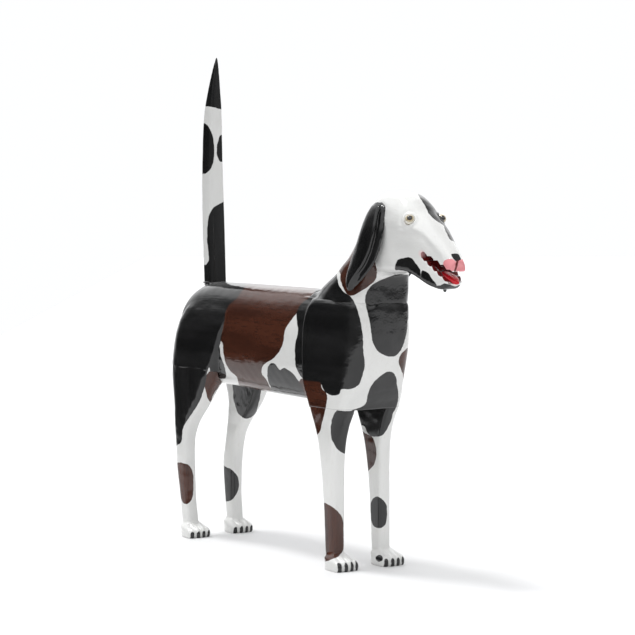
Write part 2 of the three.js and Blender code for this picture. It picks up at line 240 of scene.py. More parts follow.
class Carving:
    """The points of a fine mesh while it is being shaped."""

    def __init__(self, mesh):
        self.mesh = mesh
        read = np.zeros(len(mesh.vertices) * 3)
        mesh.vertices.foreach_get("co", read)
        self.points = read.reshape(-1, 3) * 1000 + SHIFT
        edges = np.zeros(len(mesh.edges) * 2, int)
        mesh.edges.foreach_get("vertices", edges)
        self.edges = edges.reshape(-1, 2)
        self.degree = np.bincount(edges, minlength=len(self.points))
        mesh.calc_loop_triangles()
        tris = np.zeros(len(mesh.loop_triangles) * 3, int)
        mesh.loop_triangles.foreach_get("vertices", tris)
        self.tris = tris.reshape(-1, 3)

    def normals(self):
        a, b, c = (self.points[self.tris[:, k]] for k in range(3))
        cross = np.cross(b - a, c - a)
        total = np.zeros_like(self.points)
        for k in range(3):
            for axis in range(3):
                total[:, axis] += np.bincount(self.tris[:, k], cross[:, axis], len(self.points))
        return unit(total)

    def pull(self):
        """From each point to the middle of its neighbours."""
        a, b = self.edges.T
        count = len(self.points)
        total = np.stack([np.bincount(a, self.points[b, k], count) + np.bincount(b, self.points[a, k], count)
                          for k in range(3)], 1)
        return total / self.degree[:, None] - self.points

    def even(self, rounds, weight=1.0):
        """Takes small lumps out, and moves back a little more each time so that the shape gets no thinner."""
        weight = np.broadcast_to(weight, len(self.points))[:, None]
        for _ in range(rounds):
            self.points += 0.5 * weight * self.pull()
            self.points -= 0.53 * weight * self.pull()

    def soften(self, rounds, weight=1.0):
        weight = np.broadcast_to(weight, len(self.points))[:, None]
        for _ in range(rounds):
            self.points += 0.5 * weight * self.pull()

    def fill(self, rounds, weight=1.0):
        """Rounds out inside corners alone."""
        for turn in range(rounds):
            if turn % 6 == 0:
                normals = self.normals()
            pull = self.pull()
            inside = (pull * normals).sum(1) > 0
            self.points += 0.5 * (weight * inside)[:, None] * pull

    def blurred(self, values, rounds):
        """Values at the points, evened out over their neighbours."""
        a, b = self.edges.T
        for _ in range(rounds):
            total = np.bincount(a, values[b], len(values)) + np.bincount(b, values[a], len(values))
            values = (values + total / self.degree) / 2
        return values

    def push(self, by):
        self.points += np.asarray(by)[:, None] * self.normals()

    def done(self):
        low, high = (np.array(corner) * 1000 + SHIFT for corner in cad_box)
        self.points = np.clip(self.points, low + 0.02, high - 0.02)
        self.mesh.vertices.foreach_set("co", ((self.points - SHIFT) / 1000).astype(np.float32).ravel())
        self.mesh.update()
        self.mesh.shade_smooth()


def carve(name, voxel, stretch=(), extra=None):
    """A CAD node as a fine rounded mesh.

    `stretch` moves flat ends (axis, place, by) into the next block. `extra` is a shape, as points and
    triangles, that is joined to the block.
    """
    points, tris = facets(name)
    for axis, at, by in stretch:
        points[np.abs(points[:, axis] - at) < 0.06, axis] += by
    normals = corner_normals(points, tris)
    for _ in range(LEVELS):
        points, tris, normals = rounded(points, tris, normals)
    if extra:
        tris = np.vstack([tris, extra[1] + len(points)])
        points = np.vstack([points, extra[0]])
    return Carving(voxelised(name, points, tris, voxel))


# Paint

# Each patch has its colour, the blocks that carry it and its outline as it shows in the photograph, in
# pixels. Where a patch goes on round an edge of the figure, its outline runs past that edge.
PATCHES = {
    "rump": ("black", "torso leg_hind_right", [
        (246, 268), (245, 286), (241, 292), (237.1, 298), (229.4, 305), (225.2, 312.7), (224.5, 321.1),
        (222.4, 329.5), (221, 340.8), (218.9, 347.8), (215, 357), (208, 369.5), (204.8, 386), (199.8, 401),
        (191.5, 414), (185, 424), (182.4, 431), (181.6, 441), (177.4, 445), (168, 446), (160, 400),
        (165, 300), (190, 262)]),
    "flank": ("black", "torso", [
        (212, 345), (219, 346), (220.6, 356), (224.4, 366), (226, 378), (219, 378), (210, 372)]),
    "saddle": ("brown", "torso head", [
        (240, 262), (238, 286), (228, 300), (220, 320), (219, 336), (222.4, 343.6), (223.4, 353),
        (225.6, 363), (230, 370.6), (236, 376.2), (238, 381), (239.4, 386), (244.1, 390),
        (250, 404), (276, 406), (273.6, 394.1), (270.8, 388.5), (267.3, 381.5), (264.6, 377.2),
        (261.8, 373.2), (262.3, 367), (266, 363), (273.6, 358.3), (280.6, 349.2), (283.4, 340.8),
        (285.5, 328.8), (293.2, 317.6), (298.8, 310.6), (303.7, 302.9), (314.3, 295.2), (322, 288),
        (324, 262)]),
    "belly": ("black", "torso", [
        (271.5, 363.2), (275.7, 364.6), (279.9, 370.2), (284.1, 368.1), (290.4, 371.6), (296, 377.2),
        (301.6, 385.7), (304, 393), (305, 408), (272, 408), (270.8, 388.5), (268.7, 382.9),
        (267.3, 375.8), (268, 367.5)]),
    "shoulder": ("black", "torso head", [
        (301.4, 303.6), (297.6, 310.4), (296.3, 316.5), (298.1, 330.9), (295.3, 343.6), (294.9, 356.2),
        (296, 367.4), (299.5, 374.4), (304.5, 380), (312, 381), (319.9, 382.2), (322.7, 388.5),
        (326.9, 393.4), (333.2, 395.5), (339.5, 394.1), (341.6, 389.2), (349.3, 389.2), (357.8, 385.7),
        (362, 377.2), (364.8, 363.2), (363.4, 352), (362.7, 335.2), (360.6, 321.1), (356.4, 307.1),
        (350.7, 296.6), (343.7, 291.7), (339.5, 286), (337.2, 277.6), (335, 268), (322, 268),
        (314.3, 292)]),
    "neck": ("brown", "head", [
        (339.8, 272), (340.6, 280.4), (344.1, 289.8), (347.9, 294.9), (352.4, 295.7), (358.2, 292.8),
        (367.4, 287), (374.8, 280.4), (376.9, 272.1), (375.7, 264.6), (372, 254), (364, 242),
        (356, 238), (347, 243), (332, 262)]),
    "breast": ("black", "torso head", [
        (411, 274.7), (398, 274.1), (386.4, 277.9), (375.7, 282.8), (370.5, 286.5), (366, 294),
        (365.5, 302.9), (369, 318.3), (371.1, 332.3), (373.2, 343.6), (378.8, 352), (388.6, 356.5),
        (397, 354.8), (402.7, 346.4), (406.9, 332.3), (408.5, 318), (416, 306), (426, 296),
        (424, 272)]),
    "left_breast": ("brown", "torso leg_front_left", [
        (408.3, 347.8), (400.5, 354.8), (398.7, 361.8), (401.3, 370.2), (403.2, 377), (402.4, 390),
        (402.4, 398), (408, 402), (424, 392), (424, 342)]),
    "left_chest": ("black", "torso leg_front_left", [
        (390.7, 371.6), (383.7, 373.7), (376, 380.1), (370.4, 387.1), (367.6, 395.5), (365.5, 403.9),
        (358.5, 408.1), (350, 412), (350, 425), (360, 425), (364.8, 427), (368, 434), (375.6, 436.7),
        (384, 434), (391.4, 420), (392.8, 413.7), (397, 405.3), (398.5, 395.5), (397, 385.7),
        (395.6, 375.8)]),
    "right_elbow": ("brown", "torso leg_front_right", [
        (300, 379.5), (312, 380.4), (319.9, 381.5), (322, 388.5), (326.9, 394.6), (326.2, 406.7),
        (322.7, 420), (319, 433), (308, 436), (298, 400)]),
    "right_knee": ("black", "leg_front_right", [
        (346, 405.8), (341.6, 406.7), (335.3, 412.3), (331.8, 420), (330.8, 430), (331.6, 439),
        (337.4, 449), (344, 453.4), (354, 452), (364, 440), (364, 412), (355, 406)]),
    "right_shin": ("brown", "leg_front_right", [
        (312, 499), (323.9, 502.4), (332.6, 507.2), (339.8, 513.6), (343, 520.7), (343.4, 535.1),
        (343.8, 547.8), (339, 555.8), (332.6, 559), (325.5, 561.4), (312, 562)]),
    "left_knee": ("brown", "leg_front_left", [
        (352, 427), (364.8, 433), (373, 438), (376.4, 451.5), (374.8, 463), (368.6, 470.6), (358, 476),
        (350, 450)]),
    "left_shin": ("black", "leg_front_left", [
        (372.3, 499.5), (376.4, 496.6), (380.6, 497.8), (384.7, 502), (386.9, 507.8), (386.6, 519.4),
        (384.7, 525.2), (379.8, 528), (374.8, 526.9), (372, 522.7), (370.6, 514.4), (370.6, 504.5)]),
    "dew_claw": ("black", "leg_front_left", [
        (379.2, 554.6), (382.4, 556.8), (382.4, 560), (379.2, 561.8), (376, 560), (376, 556.8)]),
    "right_hock": ("brown", "leg_hind_right", [
        (212.6, 366), (208.6, 372), (205.5, 377.2), (204.8, 387.1), (209.7, 401.8), (214.6, 392.7),
        (225.2, 377.2), (234, 366)]),
    "right_ankle": ("brown", "leg_hind_right", [
        (176.5, 463.4), (186.6, 464.2), (190.7, 467.6), (193.2, 474.6), (193.5, 486), (192.9, 496.2),
        (190.7, 501.5), (186.6, 504.1), (183.2, 502.8), (180.8, 497.8), (179.2, 489.6), (177, 478)]),
    "left_thigh": ("black", "leg_hind_left", [
        (230, 350), (232.9, 388.5), (233.6, 399.7), (238.5, 413.7), (246.9, 418.6), (255.3, 413.7),
        (258.8, 402.5), (261, 390), (264, 350)]),
    "left_ankle": ("black", "leg_hind_left", [
        (218, 466), (227, 467.6), (233, 470.6), (237.8, 477), (239, 485), (237, 493), (232, 499.6),
        (226, 501.6), (218, 503)]),
    "tail_tip": ("black", "tail", [(190, 107.5), (205, 106), (215, 107.6), (235, 106), (235, 40), (190, 40)]),
    "tail_left": ("black", "tail", [
        (203, 123), (209, 127.6), (213, 137), (214.2, 150), (213.4, 162), (209.6, 170), (203, 173.6),
        (192, 165), (192, 130)]),
    "tail_right": ("black", "tail", [
        (222, 134.6), (218.4, 140), (216.8, 150), (218, 158), (222, 162), (232, 156), (232, 138)]),
    "tail_foot": ("black", "tail", [
        (227, 200), (219, 204.2), (213.8, 207.5), (209.4, 214), (208, 221), (207, 237), (208.2, 250),
        (208.8, 259), (206, 264.6), (198, 268), (198, 300), (236, 300), (236, 198)]),
    "forehead": ("black", "head", [
        (415.5, 190), (416.9, 193.3), (422.9, 202.4), (426.7, 209), (428.3, 212.8), (432.9, 218.2),
        (437.8, 221.9), (443.6, 225.6), (445.7, 231.4), (451.2, 240.4), (462, 240), (470, 215),
        (440, 182)]),
    "jaw": ("black", "head", [
        (395.1, 269.6), (395.6, 264.6), (398, 259.6), (403.8, 258), (408, 257.1), (412.1, 258.8),
        (416.3, 263.8), (419.6, 268.4), (420.4, 272), (421, 287), (413, 281), (409.5, 273.8),
        (407, 271.4), (399.7, 270)]),
    "lip": ("black", "head", [
        (421.4, 272.2), (424.6, 270.8), (428.7, 273.7), (432, 278.7), (436.2, 284.3), (438, 296),
        (428, 293), (421, 287)]),
    "chin": ("black", "head", [
        (435.5, 287.2), (440.5, 285.4), (444, 283.6), (450, 284.6), (456, 286.2), (459.5, 284.8),
        (462, 288), (457, 297), (438, 297)]),
    "nose": ("black", "head", [
        (451.1, 254.2), (456.1, 253.6), (458.6, 254.5), (461, 259.4), (458.8, 261.9), (455.3, 260.9),
        (452.8, 258)]),
    "pad": ("pink", "head", [
        (444.9, 260.2), (451.1, 258.6), (455.9, 261.6), (456.6, 266), (454.6, 270.4), (447.8, 271.6),
        (444.1, 271.2), (443.4, 264.6)]),
    "left_pad": ("pink", "head", [
        (457.2, 263), (461.1, 259.6), (470, 258), (472, 268), (468, 273), (461.9, 272.6), (456.1, 271.6)]),
    "philtrum": ("red", "head", [
        (456.6, 260.6), (458.4, 261.4), (457.6, 265), (456, 271.6), (453.9, 271.2), (455.4, 266)]),
}
# the ridge from an eye to the muzzle, in pixels of the photograph
BROW = [(390, 226), (398, 227), (412, 229), (423, 233), (431, 241.4), (439.5, 251.3), (446, 261)]
# blocks whose patches go straight through to the hidden side
THROUGH = {"leg_front_right", "leg_front_left", "leg_hind_right", "leg_hind_left", "tail"}
# patches that aren't mirrored, and run on a little past the edge of what shows
FRONTAL = {"forehead"}
# how far a point is inside the part of its block that the patch keeps to
LIMITS = {
    "breast": lambda p: 302 - p[:, 0],
    "neck": lambda p: 330 - p[:, 0],
    "chin": lambda p: p[:, 0] - 415,
    "left_breast": lambda p: p[:, 0] - 195,
}
FARTHEST = 8.0  # mm, distances from a patch's edge are kept up to this


def curve(corners):
    """A closed outline through the corners, with three more points between two of them."""
    corners = np.array(corners, float)
    before, after, beyond = (np.roll(corners, k, axis=0) for k in (1, -1, -2))
    points = []
    for t in (0, 0.25, 0.5, 0.75):
        points.append(0.5 * (2 * corners + (after - before) * t
                             + (2 * before - 5 * corners + 4 * after - beyond) * t ** 2
                             + (3 * corners - before - 3 * after + beyond) * t ** 3))
    return np.stack(points, 1).reshape(-1, 2)


def within(outline, spots, most=24.0):
    """How far each spot is inside the outline, in pixels, and negative outside it."""
    result = np.full(len(spots), -most)
    close = ((spots > outline.min(0) - most) & (spots < outline.max(0) + most)).all(1)
    p = spots[close]
    nearest = np.full(len(p), most)
    inside = np.zeros(len(p), bool)
    for a, b in zip(outline, np.roll(outline, -1, axis=0)):
        edge = b - a
        t = np.clip((p - a) @ edge / max(edge @ edge, 1e-9), 0, 1)
        nearest = np.minimum(nearest, np.linalg.norm(p - a - t[:, None] * edge, axis=1))
        if a[1] != b[1]:
            crosses = (a[1] > p[:, 1]) != (b[1] > p[:, 1])
            inside ^= crosses & (p[:, 0] < edge[0] * (p[:, 1] - a[1]) / edge[1] + a[0])
    result[close] = np.where(inside, nearest, -nearest)
    return result


def seen(points):
    """Where points are in the photograph, and how many millimetres a pixel is there."""
    offset = points - CAMERA
    depth = offset @ FORWARD
    aside = MIDDLE + FOCUS * (offset @ RIGHT) / depth
    down = MIDDLE - FOCUS * (offset @ UPWARD) / depth
    return np.stack([aside, down], 1), depth / FOCUS


def unseen(name, points):
    """The place on the right side whose paint a point on the hidden side takes."""
    x, y, z = points.T
    if name == "head":
        return np.stack([x + 25 * smoothstep(5, 45, y) * smoothstep(560, 500, z), -np.abs(y), z], 1)
    return np.stack([x + 42 * smoothstep(-45, 62, y), np.minimum(y, -45), z], 1)


def coat(name, carving):
    """Distances in mm from the edges of each colour's patches, positive inside them.

    "up" is how far up the surface faces.
    """
    points, normals = carving.points, carving.normals()
    facing = carving.blurred((normals * unit(CAMERA - points)).sum(1), 12)
    here, scale = seen(points)
    there, scale_there = seen(unseen(name, points))
    near = {colour: np.full(len(points), -FARTHEST) for colour in ("black", "brown", "pink", "red", "blush")}
    far = {colour: values.copy() for colour, values in near.items()}
    for patch, (colour, names, corners) in PATCHES.items():
        if name not in names.split():
            continue
        outline = curve(corners)
        depth = within(outline, here) * scale
        if patch in FRONTAL:
            hidden = np.where(facing > -0.45, depth, -FARTHEST)
        elif name in THROUGH:
            hidden = depth
        else:
            hidden = within(outline, there) * scale_there
        limit = LIMITS[patch](points) if patch in LIMITS else FARTHEST
        near[colour] = np.maximum(near[colour], np.minimum(depth, limit))
        far[colour] = np.maximum(far[colour], np.minimum(hidden, limit))
    share = smoothstep(0.0, 0.14, facing)
    colours = {"up": normals[:, 2]}
    for colour in near:
        ours, theirs = (np.clip(side[colour], -FARTHEST, FARTHEST) for side in (near, far))
        colours[colour] = ours * share + theirs * (1 - share)
    # black reaches 1 mm farther where the two sides meet
    colours["black"] += 4 * share * (1 - share)
    return colours


# Materials: each enamel has two tones

PAINTS = {
    "white": [(0.755, 0.757, 0.74, 1), (0.70, 0.702, 0.688, 1)],
    "brown": [(0.040, 0.0125, 0.007, 1), (0.069, 0.022, 0.012, 1)],
    "black": [(0.0065, 0.0066, 0.0068, 1), (0.0135, 0.0136, 0.0138, 1)],
    "pink": [(0.79, 0.30, 0.32, 1), (0.71, 0.235, 0.26, 1)],
    "red": [(0.16, 0.012, 0.012, 1), (0.09, 0.008, 0.008, 1)],
}
THIN_WHITE = (0.62, 0.61, 0.575, 1)
THICK_BROWN = (0.026, 0.009, 0.006, 1)
BLUSH = (0.85, 0.50, 0.50, 1)
# pale grey over the faces that lie upward: part dust, part painted sheen that stands in for the glossy
# paint's grazing reflection along the tops
DUST_AND_SHEEN = (0.62, 0.62, 0.62, 1)
DIRT = (0.022, 0.019, 0.016, 1)


def feed(tree, node, links):
    """Gives the node's inputs their values, each a plain value or another node's output."""
    for key, value in links.items():
        socket = node.inputs[key]
        if isinstance(value, bpy.types.NodeSocket):
            tree.links.new(value, socket)
        else:
            socket.default_value = value


def add(tree, kind, links=None, **settings):
    made = tree.nodes.new("ShaderNode" + kind)
    for key, value in settings.items():
        setattr(made, key, value)
    feed(tree, made, links or {})
    return made


def calc(tree, operation, *values):
    return add(tree, "Math", dict(enumerate(values)), operation=operation).outputs[0]


def ramp(tree, value, low, high, to_low=0.0, to_high=1.0):
    links = {0: value, 1: low, 2: high, 3: to_low, 4: to_high}
    return add(tree, "MapRange", links, interpolation_type="SMOOTHSTEP").outputs[0]


def blend(tree, share, first, second):
    made = add(tree, "Mix", {0: share, 6: first, 7: second}, data_type="RGBA")
    return made.outputs[2]


def noise(tree, where, stretch, scale, detail=3.0):
    spread = add(tree, "Mapping", {"Vector": where, "Scale": stretch})
    return add(tree, "TexNoise", {"Vector": spread.outputs[0], "Scale": scale, "Detail": detail}).outputs[0]


def surface(name):
    made = bpy.data.materials.new(name)
    made.use_nodes = True
    tree = made.node_tree
    tree.nodes.clear()
    shader = add(tree, "BsdfPrincipled")
    tree.links.new(shader.outputs[0], add(tree, "OutputMaterial").inputs[0])
    where = add(tree, "TexCoord").outputs["Object"]
    return made, tree, shader, where


def reading(tree, name):
    return add(tree, "Attribute", attribute_name=name, attribute_type="GEOMETRY").outputs["Fac"]


def relief(tree, heights):
    """Bump from (height, metres) pairs, one after another."""
    normal = None
    for height, deep in heights:
        links = {"Height": height, "Strength": 1.0, "Distance": deep}
        if normal is not None:
            links["Normal"] = normal
        normal = add(tree, "Bump", links).outputs[0]
    return normal


def enamel(name, along):
    """Enamel over carved wood, brushed along an axis: white with black and brown patches."""
    made, tree, shader, where = surface(name)
    fine = tuple(0.16 if axis == along else 1.0 for axis in range(3))
    # patches have a hand-brushed edge that wanders by a millimetre or so
    wobble = calc(tree, "MULTIPLY", calc(tree, "SUBTRACT", noise(tree, where, (1, 1, 1), 110, 3), 0.5), 2.6)
    cover = {}
    for colour in ("brown", "black", "pink", "red"):
        edge = calc(tree, "ADD", reading(tree, colour), wobble)
        cover[colour] = ramp(tree, edge, -0.45, 0.45)
    streaks = noise(tree, where, fine, 260, 4)
    broad = noise(tree, where, fine, 38, 3)
    cloud = noise(tree, where, (1, 1, 1), 9, 2)
    white = blend(tree, ramp(tree, cloud, 0.3, 0.7), *PAINTS["white"])
    white = blend(tree, ramp(tree, streaks, 0.55, 0.8, 0, 0.35), white, THIN_WHITE)
    brown = blend(tree, ramp(tree, broad, 0.3, 0.7), *PAINTS["brown"])
    brown = blend(tree, ramp(tree, streaks, 0.5, 0.75, 0, 0.6), brown, THICK_BROWN)
    black = blend(tree, ramp(tree, broad, 0.35, 0.7), *PAINTS["black"])
    pink = blend(tree, ramp(tree, broad, 0.3, 0.7), *PAINTS["pink"])
    red = blend(tree, ramp(tree, streaks, 0.3, 0.7), *PAINTS["red"])
    colour = white
    for kind, paint in (("brown", brown), ("black", black), ("pink", pink), ("red", red)):
        colour = blend(tree, cover[kind], colour, paint)
    colour = blend(tree, ramp(tree, reading(tree, "blush"), -2.5, 3.5, 0.0, 0.5), colour, BLUSH)
    # the faces that lie upward turn paler: dust, and a painted sheen for the reflection along the back and
    # the other tops
    dust_and_sheen_on_top = ramp(tree, reading(tree, "up"), 0.80, 0.99, 0.0, 0.16)
    colour = blend(tree, calc(tree, "MULTIPLY", dust_and_sheen_on_top, ramp(tree, broad, 0.2, 0.6)), colour, DUST_AND_SHEEN)
    dirt = ramp(tree, calc(tree, "ABSOLUTE", reading(tree, "seam")), 0.1, 0.55, 0.4, 0.0)
    colour = blend(tree, dirt, colour, DIRT)
    gloss = ramp(tree, broad, 0.25, 0.75, 0.09, 0.17)
    dark = calc(tree, "MAXIMUM", cover["black"], cover["brown"])
    layer = calc(tree, "MAXIMUM", dark, cover["pink"])
    normal = relief(tree, [(noise(tree, where, (1, 1, 1), 22, 2), 0.0008), (broad, 0.0005),
                           (streaks, 0.00022), (layer, 0.00022)])
    feed(tree, shader, {"Base Color": colour, "Roughness": gloss, "Normal": normal, "IOR": 1.54})
    return made


def eye_glass():
    """Cream glass with a black pupil in a thin gold ring. `gaze` is in degrees from the pupil's middle."""
    made, tree, shader, where = surface("eye_glass")
    gaze = reading(tree, "gaze")
    speck = noise(tree, where, (1, 1, 1), 900, 3)
    cream = blend(tree, ramp(tree, speck, 0.35, 0.7), (0.78, 0.76, 0.69, 1), (0.68, 0.64, 0.54, 1))
    iris = blend(tree, ramp(tree, speck, 0.35, 0.65), (0.60, 0.53, 0.36, 1), (0.36, 0.29, 0.17, 1))
    edge = calc(tree, "ADD", gaze, calc(tree, "MULTIPLY", speck, 3.0))
    colour = blend(tree, ramp(tree, edge, 66, 44), cream, iris)
    colour = blend(tree, ramp(tree, edge, 38, 34), colour, (0.26, 0.17, 0.07, 1))
    colour = blend(tree, ramp(tree, edge, 32, 29), colour, (0.004, 0.004, 0.004, 1))
    colour = blend(tree, ramp(tree, edge, 78, 100), colour, (0.35, 0.27, 0.16, 1))
    normal = relief(tree, [(speck, 0.00005)])
    feed(tree, shader, {"Base Color": colour, "Roughness": ramp(tree, speck, 0.2, 0.8, 0.04, 0.10),
                        "Normal": normal, "Coat Weight": 1.0, "Coat Roughness": 0.03, "IOR": 1.5})
    return made


def tongue_red():
    made, tree, shader, where = surface("tongue_red")
    streaks = noise(tree, where, (0.25, 1, 1), 300, 3)
    broad = noise(tree, where, (1, 1, 1), 60, 2)
    colour = blend(tree, ramp(tree, broad, 0.3, 0.7), (0.62, 0.012, 0.022, 1), (0.48, 0.008, 0.016, 1))
    # painted shade: the tongue's red darkens towards its back, where it lies deep in the mouth
    deep = calc(tree, "ADD", reading(tree, "deep"), calc(tree, "MULTIPLY", broad, 2.0))
    colour = blend(tree, ramp(tree, deep, 0.0, 7.0), colour, (0.10, 0.006, 0.008, 1))
    normal = relief(tree, [(broad, 0.0008), (streaks, 0.0002)])
    feed(tree, shader, {"Base Color": colour, "Roughness": ramp(tree, streaks, 0.3, 0.7, 0.24, 0.4),
                        "Normal": normal, "IOR": 1.45})
    return made


def studio_white():
    made, tree, shader, where = surface("studio_white")
    dust = noise(tree, where, (1, 1, 1), 3, 2)
    colour = blend(tree, ramp(tree, dust, 0.3, 0.7), (0.75, 0.75, 0.75, 1), (0.735, 0.735, 0.74, 1))
    feed(tree, shader, {"Base Color": colour, "Roughness": 0.7, "Specular IOR Level": 0.2})
    return made


ALONG_BODY = enamel("enamel_body", 0)
ALONG_LEG = enamel("enamel_leg", 2)


def place(name, carving, slot, material, **attributes):
    """Puts a finished carving in the scene, in the place of its CAD node."""
    carving.done()
    for key, values in attributes.items():
        made = carving.mesh.attributes.new(key, "FLOAT", "POINT")
        made.data.foreach_set("value", values.astype(np.float32))
    carving.mesh.materials.clear()
    carving.mesh.materials.append(material)
    piece = bpy.data.objects.new("carved_" + name, carving.mesh)
    bpy.context.scene.collection.objects.link(piece)
    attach(piece, "root")
    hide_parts(name)


def hewn(carving, depth, seed):
    """The slight unevenness of a surface worked with a knife and a rasp."""
    carving.push(depth * (0.6 * waves(carving.points, 62, seed) + 0.4 * waves(carving.points, 19, seed + 1)))


def seams(points, *joints):
    """Distance in mm to the nearest joint, from (where it shows, distance) pairs."""
    nearest = np.full(len(points), 20.0)
    for shows, distance in joints:
        nearest = np.where(shows & (np.abs(distance) < np.abs(nearest)), distance, nearest)
    return nearest


def tail_bead():
    """A bead of filler round the foot of the tail, as a ring of points and triangles."""
    around, section = 48, 10
    points = []
    for i in range(around):
        turn = 2 * math.pi * i / around
        out = np.array([math.cos(turn), math.sin(turn), 0])
        side = TAIL_HALF / max(abs(out[0]), abs(out[1])) ** 0.86
        thick = 2.3 + 0.4 * math.sin(3 * turn + 1) + 0.3 * math.sin(7 * turn)
        for k in range(section):
            roll = 2 * math.pi * k / section
            points.append(TAIL_FOOT + out * (side + thick * math.cos(roll)) + [0, 0, thick * math.sin(roll)])
    tris = []
    for i in range(around):
        for k in range(section):
            a, b = i * section + k, i * section + (k + 1) % section
            c, d = (b + section) % (around * section), (a + section) % (around * section)
            tris += [(a, c, b), (a, d, c)]
    return np.array(points), np.array(tris)


# In the functions below, x, y and z are views of a carving's points, so they follow each change.


def carve_torso():
    ends = ((2, HIP_JOINT + GAP, -OVERLAP), (2, SHOULDER_JOINT, -OVERLAP), (2, NECK_JOINT, OVERLAP))
    body = carve("torso", 2.1, ends, extra=tail_bead())
    x, y, z = body.points.T
    rump = smoothstep(430, 452, z) * smoothstep(-60, -90, x)
    body.even(6)
    body.fill(30, 0.9 * rump)
    beside_bead = bell(np.hypot(x - TAIL_FOOT[0], y) - 18, 9)
    body.soften(34, 0.9 * rump * (1 - beside_bead))
    below_neck = smoothstep(463, 456, z)
    body.fill(40, 0.9 * smoothstep(425, 440, z) * bell(x - 112, 22) * below_neck)
    throat = smoothstep(160, 200, x) * smoothstep(425, 445, z)
    body.soften(12, 0.8 * throat * smoothstep(463, 452, z))
    hewn(body, 0.22, 3)
    seam = seams(body.points,
                 ((np.abs(y) > 56) & (x < -100), z - HIP_JOINT),
                 ((x > 130) & (z < 300), z - SHOULDER_JOINT),
                 (x > NECK_BACK, z - NECK_JOINT),
                 (z > 460, x - NECK_BACK))
    place("torso", body, "painted_wood", ALONG_BODY, seam=seam, **coat("torso", body))


def brow(points):
    """How far out the ridge from each eye to the muzzle stands, above its hollowed cheek."""
    spots, scale = seen(points * [1, 0, 1] - np.abs(points * [0, 1, 0]))
    ridge = np.array(BROW, float)
    height = np.interp(spots[:, 0], ridge[:, 0], ridge[:, 1])
    slope = np.interp(spots[:, 0], ridge[:, 0], np.gradient(ridge[:, 1], ridge[:, 0]))
    below = (spots[:, 1] - height) / np.hypot(1, slope) * scale
    side = smoothstep(20, 30, np.abs(points[:, 1]) + 0.12 * (points[:, 0] - 383))
    along = smoothstep(392, 402, spots[:, 0]) * smoothstep(447, 440, spots[:, 0])
    return along * side * (1.1 * bell(below + 1.5, 4.5) - 1.3 * bell(below - 9, 7))


def from_eye(points):
    """How far points are from the middle of the nearer eye."""
    return np.linalg.norm(np.stack([points[:, 0], np.abs(points[:, 1]), points[:, 2]], 1) - EYE, axis=1)


def mouth_depth(head):
    """How far points are inside the mouth, between the lips, and negative outside it."""
    x, y, z = head.points.T
    upper_lip = np.interp(x, (MOUTH_CORNER[0] - 2, 474), (557, 521.5))
    lower_lip = np.interp(x, (MOUTH_CORNER[0] - 2, MOUTH_FRONT), (550, 509.5))
    between = np.minimum(upper_lip + 4.6 - z, z - lower_lip + 4.6)
    inward = 5 * (0.6 - np.abs(head.normals()[:, 1]))
    hollow = np.interp(x, (417.6, 436, 456.5), (20, 14, 8)) + 0.6 - np.abs(y)
    ends = np.minimum(x - 406, MOUTH_FRONT - x)
    return np.minimum(np.minimum(between, ends), np.maximum(inward, hollow))


def carve_head():
    ends = ((2, NECK_JOINT + GAP, -OVERLAP), (0, NECK_BACK + GAP, -OVERLAP))
    head = carve("head", 1.46, ends)
    x, y, z = head.points.T
    mouth = smoothstep(398, 408, x) * smoothstep(566, 556, z)
    calm = (1 - mouth) * smoothstep(11, 16, from_eye(head.points)) * smoothstep(467, 474, z)
    head.even(5, 1 - 0.85 * mouth)
    head.fill(150, 0.9 * calm)
    head.soften(9, 0.8 * calm)
    head.push(brow(head.points))
    # the nose and pads are rounded off, with the groove between them
    head.soften(5, 0.8 * smoothstep(462, 470, x) * smoothstep(514, 520, z))
    under_nose = smoothstep(541, 537, z) * smoothstep(517, 521, z)
    head.push(-1.2 * bell(y, 1.3) * smoothstep(464, 469, x) * under_nose)
    # a raised rim round each eye
    eye = from_eye(head.points)
    head.push(1.25 * bell(eye - 11.2, 2.2) - 0.5 * bell(eye - 16.5, 3.5))
    hewn(head, 0.22, 11)
    colours = coat("head", head)
    colours["red"] = np.maximum(colours["red"], mouth_depth(head))
    # pink round the corners of the mouth
    colours["blush"] = 6.0 - np.hypot(x - MOUTH_CORNER[0], z - MOUTH_CORNER[1]) - 2.5 * (np.abs(y) < 20)
    seam = seams(head.points, (x > NECK_BACK, z - NECK_JOINT), (z > 460, x - NECK_BACK))
    place("head", head, "painted_wood", ALONG_BODY, seam=seam, **colours)


def toes(leg, side, heel, length, tall):
    """Cuts the grooves between the toes up over the paw, and gives how far points are inside the nails."""
    x, y, z = leg.points.T
    middle = side * LEG_SPREAD
    ahead = smoothstep(heel + length - 37, heel + length - 19, x) * smoothstep(30, 22, z)
    nearest = np.min([np.abs(y - middle - k * TOE_WIDTH) for k in (-1, 0, 1)], axis=0)
    leg.push(-1.5 * bell(nearest, 1.7) * ahead)
    nails = np.full(len(x), -20.0)
    for k in (-1.5, -0.5, 0.5, 1.5):
        # the outer toes stand back a little
        tip = heel + length - 0.44 * TOE_WIDTH * (k / 2) ** 2
        aside = (y - middle - k * TOE_WIDTH) / 3.6
        reach = np.hypot(aside, np.maximum(z - 0.6 * tall, 0) / (0.4 * tall))
        nails = np.maximum(nails, np.minimum((1 - reach) * 3.5, x - (tip - 0.75 * tall)))
    return nails


def carve_leg(name, side, joint):
    leg = carve(name, 1.3, ((2, joint, OVERLAP),))
    x, y, z = leg.points.T
    leg.even(5)
    leg.fill(40, 0.9 * smoothstep(14, 18, z) * smoothstep(joint - 2, joint - 8, z))
    nails = toes(leg, side, *PAWS[name])
    hewn(leg, 0.2, 21 + len(name))
    colours = coat(name, leg)
    colours["black"] = np.maximum(colours["black"], nails)
    seam = seams(leg.points, (z > joint - 20, z - joint))
    place(name, leg, "painted_wood", ALONG_LEG, seam=seam, **colours)


